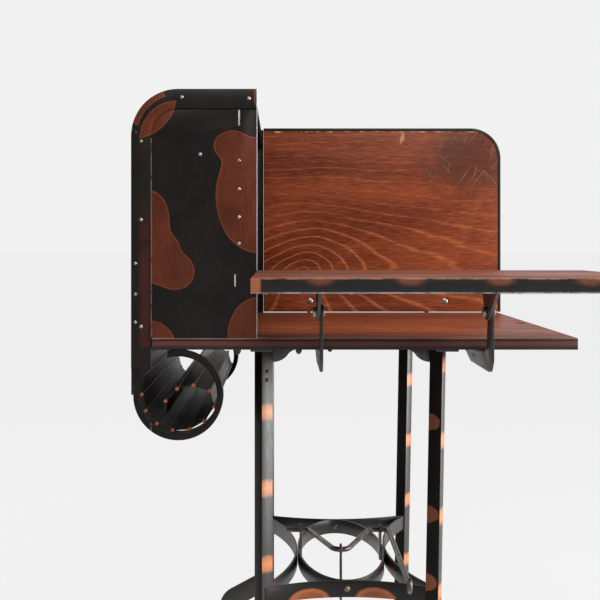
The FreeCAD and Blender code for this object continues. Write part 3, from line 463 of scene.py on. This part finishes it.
def cabinet_blotches(g):
    """The large blotches of the cabinet's sides, placed from its rear, front and table top."""
    rear = TRACK_LOW[0]
    seam = PLATE_LOW[0] + 0.8 * MM
    front = PLATE_HIGH[0]
    base = PLATE_LOW[2]
    top = CABINET_TOP
    # a low kidney shape, cut off by the track's seam
    kidney = union(g, [
        g.ellipse((seam, base + 0.158), (0.0255, 0.046)),
        g.ellipse((seam + 0.012, base + 0.112), (0.0300, 0.038)),
        g.ellipse((seam + 0.033, base + 0.092), (0.0265, 0.0255)),
    ], 0.014)
    # a tall one that runs off the front edge, narrow at its neck
    tall = union(g, [
        g.ellipse((front - 0.034, base + 0.266), (0.0260, 0.0205)),
        g.ellipse((front, base + 0.252), (0.047, 0.0255)),
        g.ellipse((front - 0.013, base + 0.198), (0.0440, 0.071)),
        g.ellipse((front, base + 0.190), (0.050, 0.072)),
    ], 0.011)
    # a fan in the lower rear corner, and a quarter round at the lower front one
    fan = g.ellipse((seam - 0.006, base - 0.012), (0.040, 0.037))
    quarter = g.ellipse((front + 0.002, base + 0.002), (0.043, 0.055))
    beyond_seam = g.math("SUBTRACT", seam, g.x)
    panel = g.math("MAXIMUM", g.math("MINIMUM", kidney, fan), beyond_seam)
    panel = g.math("MAXIMUM", panel, g.math("SUBTRACT", base, g.z))
    # a leaf shape across the round corner: the overlap of two circles
    leaf = g.math("MAXIMUM",
                  g.ellipse((rear + 0.0654, top - 0.0691), (0.0534, 0.0534)),
                  g.ellipse((rear - 0.0001, top - 0.0054), (0.064, 0.064)))
    # the outer edge of the corner, rubbed through
    outer = g.math("MAXIMUM",
                   g.math("MULTIPLY", g.ellipse((rear + 0.065, top - 0.065), (0.057, 0.057)), -1.0),
                   g.ellipse((rear + 0.018, top - 0.020), (0.031, 0.031)))
    tip = g.ellipse((front + 0.003, top - 0.010), (0.0075, 0.018))
    shapes = [panel, tall, quarter, leaf, outer, tip]
    total = shapes[0]
    for shape in shapes[1:]:
        total = g.math("MINIMUM", total, shape)
    return total


def near(g, value, at, half):
    """1 where value is within half of at, 0 elsewhere."""
    away = g.math("ABSOLUTE", g.math("SUBTRACT", value, at))
    return g.span(away, half, half * 0.4)


def cabinet_lines(g):
    """Painted dark red sheen on the rear strip, the pale seam beside it, a painted highlight down the
    sheet's front edge, and painted highlights on the rear corner's crimps.
    """
    seam = PLATE_LOW[0] + 0.8 * MM
    # a painted dark red sheen down the lower part of the rear strip
    painted_red_sheen = g.span(g.math("ABSOLUTE", g.math("SUBTRACT", g.x, seam - 0.009)), 0.011, 0.002)
    low_half = g.span(g.z, PLATE_LOW[2] + 0.19, PLATE_LOW[2] + 0.13)
    cloud = g.noise(25.0, 3.0, g.place, 0.6)
    painted_red_sheen = g.math("MULTIPLY", g.math("MULTIPLY", painted_red_sheen, low_half), g.span(cloud, 0.25, 0.6))
    painted_red_sheen = g.math("MULTIPLY", painted_red_sheen, g.math("GREATER_THAN", g.z, PLATE_LOW[2] - 12 * MM))
    broken = g.noise(1.0, 3.0, g.stretched((10, 10, 90)), 0.7)
    seam_line = g.math("MULTIPLY", near(g, g.x, seam, 0.9 * MM), g.span(broken, 0.30, 0.55))
    seam_line = g.math("MULTIPLY", seam_line, g.math("LESS_THAN", g.z, CABINET_TOP - 0.068))
    # a painted highlight down the front edge of the near side's sheet
    painted_edge_highlight = g.math("GREATER_THAN", g.x, PLATE_HIGH[0] - 0.6 * MM)
    painted_edge_highlight = g.math("MULTIPLY", painted_edge_highlight, g.math("LESS_THAN", g.y, MIDDLE_Y))
    # painted highlights on the crimps where the track turns over the rear top corner
    corner = near(g, g.x, TRACK_LOW[0] + 0.6 * MM, 0.022)
    rub_and_glint_noise = g.noise(1.0, 4.0, g.stretched((160, 160, 220)), 0.7)
    painted_crimp_highlights = g.math("MULTIPLY", corner, near(g, g.z, CABINET_TOP - 0.042, 0.026))
    painted_crimp_highlights = g.math("MULTIPLY", painted_crimp_highlights, g.span(rub_and_glint_noise, 0.60, 0.66))
    painted_crimp_highlights = g.math("MULTIPLY", painted_crimp_highlights, g.span(g.x, TRACK_LOW[0] + 0.014, TRACK_LOW[0] + 0.004))
    return [(g.math("MULTIPLY", painted_red_sheen, 0.75), (0.050, 0.010, 0.007)),
            (g.math("MULTIPLY", seam_line, 0.65), SEAM_LIGHT),
            (g.math("MULTIPLY", painted_edge_highlight, 0.9), SHEET_EDGE_HIGHLIGHT), (painted_crimp_highlights, (0.62, 0.45, 0.36))]


def cloud_blotches(scale, level, vector_scale=(1, 1, 1)):
    """Free blotches from a soft noise, for faces with no counted pattern."""
    def distance(g):
        cloud = g.noise(scale, 1.0, g.stretched(vector_scale), 0.4)
        return g.math("MULTIPLY", g.math("SUBTRACT", level, cloud), 0.12)
    return distance


def flash_bands(first, pitch, half, limit):
    """Evenly spaced soft flashes of copper up the faces of a leg that look to the table's front,
    as far along X as limit."""
    def lines(g):
        turned = g.math("DIVIDE", g.math("SUBTRACT", g.z, first), pitch)
        nearest = g.math("SUBTRACT", turned, g.math("ROUND", turned))
        cloud = g.noise(70.0, 3.0, g.place, 0.6)
        away = g.math("ABSOLUTE", g.math("MULTIPLY", nearest, pitch))
        away = g.math("ADD", away, g.swing(cloud, 8 * MM))
        front = g.math("MULTIPLY", g.span(facing(g)[0], 0.1, 0.5), g.math("LESS_THAN", g.x, limit))
        flash = g.math("MULTIPLY", g.span(away, half + 2.5 * MM, half - 4 * MM), front)
        hot = g.math("MULTIPLY", g.span(away, half, 0.0), g.math("MULTIPLY", front, 0.7))
        return [(g.math("MULTIPLY", flash, 0.85), (0.44, 0.135, 0.036)), (hot, COPPER_BRIGHT)]
    return lines


# how wide the near front leg is across the table's front-to-rear line
LEG_PLAN = 24.9 * MM


def half_rounds(leg, heights, radii):
    """Copper half-rounds at given heights against the rear edge of a leaning leg's outer face."""
    low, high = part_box(leg)
    slope = (high[0] - low[0] - LEG_PLAN) / (high[2] - low[2])

    def lines(g):
        up = g.math("ABSOLUTE", g.math("SUBTRACT", g.z, heights[0]))
        for height in heights[1:]:
            up = g.math("MINIMUM", up, g.math("ABSOLUTE", g.math("SUBTRACT", g.z, height)))
        up = g.math("DIVIDE", up, radii[1])
        edge = g.math("MULTIPLY", g.math("SUBTRACT", g.z, low[2]), slope)
        along = g.math("SUBTRACT", g.math("SUBTRACT", g.x, low[0]), edge)
        along = g.math("DIVIDE", along, radii[0])
        away = g.math("ADD", g.math("MULTIPLY", up, up), g.math("MULTIPLY", along, along))
        cloud = g.noise(120.0, 3.0, g.place, 0.6)
        away = g.math("ADD", away, g.swing(cloud, 0.9))
        other = g.span(facing(g)[0], 0.1, -0.2)
        share = g.math("MULTIPLY", g.span(away, 1.15, 0.80), g.math("MULTIPLY", other, 0.85))
        return [(share, (0.24, 0.075, 0.035))]
    return lines


def both(*makers):
    return lambda g: [pair for maker in makers for pair in maker(g)]


def leaf_edge_patches(g):
    """Half-round patches hanging from the upper rim of the level leaf's long edge."""
    first = -0.063
    pitch = 0.0953
    half_wide = 14.0 * MM
    drop = 7.5 * MM
    turned = g.math("DIVIDE", g.math("SUBTRACT", g.x, first), pitch)
    across = g.math("MULTIPLY", g.math("SUBTRACT", turned, g.math("ROUND", turned)), pitch / half_wide)
    down = g.math("DIVIDE", g.math("SUBTRACT", g.z, NEAR_EDGE_HIGH[2]), drop)
    squares = g.math("ADD", g.math("MULTIPLY", across, across), g.math("MULTIPLY", down, down))
    return g.math("MULTIPLY", g.math("SUBTRACT", g.math("SQRT", squares), 1.0), drop)


def leaf_edge_lines(g):
    """The copper-coloured end of the edge by the cabinet, and pale rubbed lines along its corners."""
    rub_and_glint_noise = g.noise(1.0, 4.0, g.stretched((45, 45, 45)), 0.7)
    outer = g.math("GREATER_THAN", g.math("MULTIPLY", g.y, -1.0), -NEAR_EDGE_LOW[1] - 14 * MM)
    end = g.math("MULTIPLY", g.span(g.x, NEAR_EDGE_LOW[0] + 12 * MM, NEAR_EDGE_LOW[0] + 9 * MM), outer)
    low = near(g, g.z, NEAR_EDGE_LOW[2] + 0.4 * MM, 1.6 * MM)
    low = g.math("MULTIPLY", low, g.span(rub_and_glint_noise, 0.3, 0.6))
    high = near(g, g.z, NEAR_EDGE_HIGH[2], 1.3 * MM)
    high = g.math("MULTIPLY", high, g.span(rub_and_glint_noise, 0.38, 0.6))
    return [(g.math("MULTIPLY", end, 0.85), (0.33, 0.10, 0.045)),
            (g.math("MULTIPLY", low, 0.8), (0.34, 0.32, 0.33)),
            (g.math("MULTIPLY", high, 0.7), (0.36, 0.17, 0.10))]


def strap_patches(g):
    """Two half-round patches on the near strap, one each side of its middle bolt."""
    middle = (STRAP_LOW[0] + STRAP_HIGH[0]) / 2
    low = STRAP_LOW[2] - 1.5 * MM
    radii = (0.0295, 0.0165)
    left = g.ellipse((middle - 0.058, low), radii)
    right = g.ellipse((middle + 0.039, low), radii)
    return g.math("MINIMUM", left, right)


def banded_edge(name):
    """The board's edge: a dark red stripe between black lines."""
    g = Graph(name)
    up = g.math("DIVIDE", g.math("SUBTRACT", g.z, BOARD_LOW[2]), BOARD_HIGH[2] - BOARD_LOW[2])
    ragged = g.noise(1.0, 3.0, g.stretched((20, 20, 300)), 0.6)
    level = g.math("ADD", up, g.swing(ragged, 0.10))
    hue = g.ramp(level, [(0.0, (0.012, 0.008, 0.008)), (0.26, (0.022, 0.010, 0.009)),
                         (0.38, (0.085, 0.024, 0.017)), (0.66, (0.095, 0.028, 0.020)),
                         (0.78, (0.020, 0.012, 0.011)), (0.90, (0.022, 0.014, 0.012)),
                         (1.0, (0.30, 0.17, 0.13))])
    g.set("Base Color", hue)
    g.set("Roughness", g.span(ragged, 0.3, 0.7, 0.34, 0.5))
    g.bsdf.inputs["Specular IOR Level"].default_value = 0.25
    g.bump(ragged, 0.15, 0.0003)
    return g.material


# half the slats' length, and a little more
SLAT_HALF = 0.2702


def slat_steel(name):
    """Dull japanned slats, with copper-coloured rod ends beyond the slats' length."""
    g = Graph(name)
    brushed = g.noise(1.0, 3.0, g.stretched((900, 25, 900)), 0.65)
    cloud = g.noise(14.0, 3.0, g.place, 0.5)
    hue = g.mix(g.span(brushed, 0.45, 0.75), (0.0075, 0.0065, 0.006), (0.040, 0.032, 0.027))
    hue = g.mix(g.math("MULTIPLY", g.span(cloud, 0.55, 0.7), 0.30), hue, COPPER_DEEP)
    off_middle = g.math("ABSOLUTE", g.math("SUBTRACT", g.y, MIDDLE_Y))
    hue = g.mix(g.math("GREATER_THAN", off_middle, SLAT_HALF), hue, (0.26, 0.075, 0.03))
    g.set("Base Color", hue)
    g.set("Roughness", g.span(brushed, 0.25, 0.75, 0.30, 0.46))
    g.bsdf.inputs["Specular IOR Level"].default_value = 0.10
    g.bump(brushed, 0.25, 0.0003)
    return g.material


def dark_steel(name, light, rust, smooth=0.28):
    """Bare or worn steel, darkened with age: light and rust are its two colours."""
    g = Graph(name)
    scratch = g.noise(1.0, 4.0, g.stretched((240, 240, 240)), 0.65)
    cloud = g.noise(60.0, 3.0, g.place, 0.6)
    g.set("Base Color", g.mix(g.span(cloud, 0.35, 0.68), light, rust))
    g.set("Roughness", g.span(scratch, 0.3, 0.7, smooth, smooth + 0.22))
    g.bsdf.inputs["Metallic"].default_value = 0.75
    g.bump(scratch, 0.2, 0.0003)
    return g.material


# --- pieces ----------------------------------------------------------------------------------------

BODY_OF = {node: body for body, names in record["behaviour"]["bodies"].items() for node in names}
SLOT_OF = {part["node"]: part["material_slot"] for part in record["subparts"]}


def dress(obj, material):
    obj.data.materials.clear()
    obj.data.materials.append(material)


def softened(name, material, width):
    """The CAD node's own form with its sharp edges slightly rounded, as pressed or planed edges are."""
    source = frame["nodes"][name]
    mesh = source.data.copy()
    form = bmesh.new()
    form.from_mesh(mesh)
    bmesh.ops.remove_doubles(form, verts=form.verts, dist=2e-6)
    bmesh.ops.dissolve_limit(form, angle_limit=math.radians(0.6), verts=form.verts, edges=form.edges)
    form.to_mesh(mesh)
    form.free()
    piece = bpy.data.objects.new(name + "_form", mesh)
    bpy.context.collection.objects.link(piece)
    bevel = piece.modifiers.new("soft_edges", "BEVEL")
    bevel.width = width
    bevel.segments = 2
    bevel.limit_method = "ANGLE"
    bevel.angle_limit = math.radians(38)
    bevel.harden_normals = False
    bevel.use_clamp_overlap = True
    depsgraph = bpy.context.evaluated_depsgraph_get()
    finished = bpy.data.meshes.new_from_object(piece.evaluated_get(depsgraph))
    piece.modifiers.clear()
    piece.data = finished
    finished.shade_smooth()
    finished.set_sharp_from_angle(angle=math.radians(42))
    dress(piece, material)
    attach(piece, BODY_OF[name])
    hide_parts(name)
    return piece


def make_materials():
    board_mid = (BOARD_LOW[0] + BOARD_HIGH[0]) / 2
    look = {}
    top_wear = worn_streaks(worn_rim("y", BOARD_LOW[1], 2.5 * MM), (0.22, 0.54))
    level_wear = worn_streaks(worn_rim("y", NEAR_EDGE_LOW[1] + 5.5 * MM, 5 * MM), (0.34, 0.50))
    upright_wear = worn_spots(worn_rim("z", LEAF_HIGH[2], 4.0 * MM))
    look["oak_top"] = oak("oak_top", "y", (board_mid - 0.9, MIDDLE_Y - 0.12), 0.011, 1.36,
                          (9.0, 0.0, 0.0), top_wear, 0.50)
    look["oak_upright"] = oak("oak_upright", "z", (LEAF_LOW[0] + 0.070, TOP_Z + 0.069), 0.0150, 1.02,
                              (1.0, 300.0, 5.4), upright_wear, gloss=0.07)
    patina(look["oak_upright"])
    look["oak_level"] = oak("oak_level", "y", (LEAF_LOW[0] + 0.2, NEAR_EDGE_LOW[1] - 0.10), 0.0095, 1.25,
                            (3.0, 30.0, 4.0),
                            level_wear, 0.48)
    look["cabinet"] = japan("japan_cabinet", cabinet_blotches, lines=cabinet_lines, shine=0.12)
    look["skin"] = japan("japan_skin", cloud_blotches(9.0, 0.55))
    look["edge"] = japan("japan_edge", leaf_edge_patches, (0.115, 0.034, 0.018), (0.16, 0.05, 0.026),
                         5 * MM, 3.4 * MM, "x", leaf_edge_lines, 0.3)
    look["frame"] = japan("japan_frame", cloud_blotches(11.0, 0.66), shine=0.7)
    look["strap"] = japan("japan_strap", strap_patches, (0.30, 0.085, 0.030), (0.46, 0.15, 0.055),
                          5 * MM, 1.6 * MM, "x", shine=0.3)
    # the copper flashes up each leg: their spacing, half height, and where one of them stands
    pitch = 0.1094
    half = 12 * MM
    for name, first in (("near_rear", 0.567), ("near_front", 0.526), ("far_front", 0.5605),
                        ("far_rear", 0.580)):
        front_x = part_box(f"leg_{name}")[1][0]
        limit = front_x - 3.5 * MM if name == "far_rear" else front_x + MM
        lines = flash_bands(first, pitch, half, limit)
        if name == "near_front":
            heights = (0.553, 0.420, 0.322, 0.212, 0.105)
            rounds = half_rounds("leg_near_front", heights, (16 * MM, 12.5 * MM))
            lines = both(lines, rounds)
        look[f"leg_{name}"] = japan(f"japan_leg_{name}", lines=lines, shine=0.7, dull_rear=True)
    look["board_edge"] = banded_edge("board_edge")
    look["slat"] = slat_steel("slat_steel")
    look["bolt"] = dark_steel("bolt_steel", (0.44, 0.36, 0.28), (0.17, 0.115, 0.075))
    look["rod"] = dark_steel("rod_steel", (0.15, 0.14, 0.135), (0.085, 0.065, 0.055))
    look["rivet"] = dark_steel("rivet_steel", (0.42, 0.40, 0.38), (0.10, 0.08, 0.07), 0.16)
    look["catch"] = dark_steel("catch_steel", (0.50, 0.41, 0.33), (0.34, 0.26, 0.20))
    look["catch"].node_tree.nodes["Principled BSDF"].inputs["Metallic"].default_value = 0.1
    look["iron"] = dark_steel("caster_iron", (0.035, 0.033, 0.031), (0.055, 0.042, 0.035))
    look["wheel"] = dark_steel("wheel_iron", (0.12, 0.11, 0.10), (0.07, 0.055, 0.045))
    return look


LOOK_BY_SLOT = {
    "oak_top": "oak_top", "edge_steel": "edge", "cabinet_steel": "cabinet", "frame_steel": "frame",
    "slat_steel": "slat", "bolt_steel": "bolt", "rod_steel": "rod", "caster_iron": "iron",
    "wheel_iron": "wheel",
}


def look_for(name, look):
    special = {
        "near_leaf_board": "oak_level", "far_leaf_board": "oak_upright", "table_edge_band": "board_edge",
        "near_leaf_skin": "skin", "far_leaf_skin": "skin", "stretcher_near": "strap",
        "cabinet_rivets": "rivet", "crank_posts": "rod",
    }
    if name in special:
        return look[special[name]]
    if name in look:
        return look[name]
    return look[LOOK_BY_SLOT[SLOT_OF[name]]]


WHOLE = ("cabinet_rivets", "near_leaf_bolts", "far_leaf_bolts", "stretcher_bolts", "crank_lever",
         "pull_rod", "curtain_corner_slats", "curtain_back_slats", "curtain_coil_slats",
         "curtain_roof_slats")


def make_pieces():
    look = make_materials()
    for name, source in frame["nodes"].items():
        material = look_for(name, look)
        if name in WHOLE:
            dress(source, material)
            continue
        width = 1.0 * MM if SLOT_OF[name].startswith("oak") else 0.45 * MM
        softened(name, material, width)
    make_slot_strips(look)
    make_ring_lips(look)
    make_small_screws(look)


# --- small details the CAD parts leave out ---------------------------------------------------------


def new_piece(name, form, material, body="root"):
    mesh = bpy.data.meshes.new(name)
    bmesh.ops.recalc_face_normals(form, faces=form.faces)
    form.to_mesh(mesh)
    form.free()
    mesh.shade_smooth()
    mesh.set_sharp_from_angle(angle=math.radians(35))
    piece = bpy.data.objects.new(name, mesh)
    bpy.context.collection.objects.link(piece)
    dress(piece, material)
    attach(piece, body)
    return piece


def lathe(form, profile, place, axis="z", sign=1.0, steps=24, turn=0.0):
    """A closed turned form: profile is (radius, height) pairs from the foot up, height along axis,
    and the whole is turned about Z."""
    rings = []
    for radius, height in profile:
        ring = []
        for step in range(steps):
            angle = 2 * math.pi * step / steps
            a, b, c = radius * math.cos(angle), radius * math.sin(angle), height * sign
            spot = {"x": (c, a, b), "y": (a, c, b), "z": (a, b, c)}[axis]
            spot = (spot[0] * math.cos(turn) - spot[1] * math.sin(turn),
                    spot[0] * math.sin(turn) + spot[1] * math.cos(turn), spot[2])
            ring.append(form.verts.new([u + v for u, v in zip(place, spot)]))
        rings.append(ring)
    for low, high in zip(rings[:-1], rings[1:]):
        for step in range(steps):
            after = (step + 1) % steps
            form.faces.new((low[step], low[after], high[after], high[step]))
    form.faces.new(rings[0])
    form.faces.new(rings[-1])


DOME = ((1.0, 0.0), (1.0, 0.16), (0.93, 0.42), (0.76, 0.70), (0.50, 0.90), (0.22, 0.99), (0.04, 1.0))


def dome(radius, tall):
    return [(r * radius, h * tall) for r, h in DOME]


def make_slot_strips(look):
    """The pale catches that stand in the cabinet sides' two narrow slots."""
    form = bmesh.new()
    far_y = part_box("side_plate_far")[1][1]
    for face, inward in ((NEAR_Y, 1.0), (far_y, -1.0)):
        # distance behind the front edge, foot and top above the side's base, half width, in mm
        for back, low, high, half in ((25.0, 293.5, 315.5, 1.25), (30.6, 71.0, 88.5, 1.0)):
            x = PLATE_HIGH[0] - back * MM
            z = PLATE_LOW[2] + (low + high) / 2 * MM
            made = bmesh.ops.create_cube(form, size=1.0)
            for vert in made["verts"]:
                vert.co = (x + vert.co.x * half * 2 * MM, face + inward * (0.9 + vert.co.y * 1.2) * MM,
                           z + vert.co.z * (high - low) * MM)
    bmesh.ops.bevel(form, geom=form.edges, offset=0.4 * MM, segments=2, affect="EDGES")
    new_piece("slot_strips", form, look["catch"])


def make_ring_lips(look):
    """The turned-in lip inside each coil ring."""
    form = bmesh.new()
    radius = 55.0 * MM
    centre_x = TRACK_LOW[0] + 65 * MM
    centre_z = TOP_Z - 78.7 * MM
    steps = 96
    for ring, inward in (("coil_ring_near", 1.0), ("coil_ring_far", -1.0)):
        low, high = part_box(ring)
        face = low[1] if inward > 0 else high[1]
        rows = ((radius, 2.2), (radius, 34.0), (radius - 0.8 * MM, 34.0), (radius - 0.8 * MM, 2.2))
        loops = []
        for step in range(steps):
            angle = 2 * math.pi * step / steps
            loops.append([form.verts.new((centre_x + r * math.cos(angle), face + inward * deep * MM,
                                          centre_z + r * math.sin(angle))) for r, deep in rows])
        for step in range(steps):
            # the open part of the ring, where the curtain enters
            if 0.20 < step / steps < 0.42:
                continue
            one, two = loops[step], loops[(step + 1) % steps]
            for k in range(4):
                form.faces.new((one[k], one[(k + 1) % 4], two[(k + 1) % 4], two[k]))
    loose = [v for v in form.verts if not v.link_faces]
    bmesh.ops.delete(form, geom=loose, context="VERTS")
    bmesh.ops.holes_fill(form, edges=[e for e in form.edges if len(e.link_faces) == 1], sides=4)
    new_piece("coil_ring_lips", form, look["frame"])


def make_small_screws(look):
    """Screw heads under the board's near and far edges, and two rivets on each rear leg."""
    form = bmesh.new()
    under = BOARD_LOW[2]
    for y in (BOARD_LOW[1] + 9 * MM, BOARD_HIGH[1] - 9 * MM):
        for x, radius, tall in ((-0.165, 5.5, 8.0), (-0.0795, 4.5, 7.0), (-0.036, 3.5, 4.0),
                                (0.188, 3.5, 3.5)):
            lathe(form, dome(radius * MM, tall * MM), (x, y, under), sign=-1.0)
    new_piece("board_screws", form, look["iron"])
    form = bmesh.new()
    for leg in ("leg_near_rear", "leg_far_rear"):
        low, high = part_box(leg)
        for drop in (34, 46):
            spot = (high[0] - 7.8 * MM, low[1] + 5.45 * MM, high[2] - drop * MM)
            lathe(form, dome(3.0 * MM, 1.9 * MM), spot, "y", -1.0, turn=math.radians(35))
    new_piece("leg_rivets", form, look["iron"])


bpy.context.scene.view_settings.view_transform = "Standard"
make_camera()
make_world()
make_floor()
middle = (0.0, MIDDLE_Y, 0.6)
make_area("window", (2.4, -0.98, 0.75), middle, (0.8, 1.9), 72)
make_area("side", (2.6, 0.4, 0.8), middle, (1.2, 1.4), 55)
make_area("front", (0.2, -2.3, 2.9), middle, (1.6, 1.2), 88)
make_area("rear", (-1.2, 2.4, 2.0), middle, (1.5, 1.5), 18)
make_pieces()
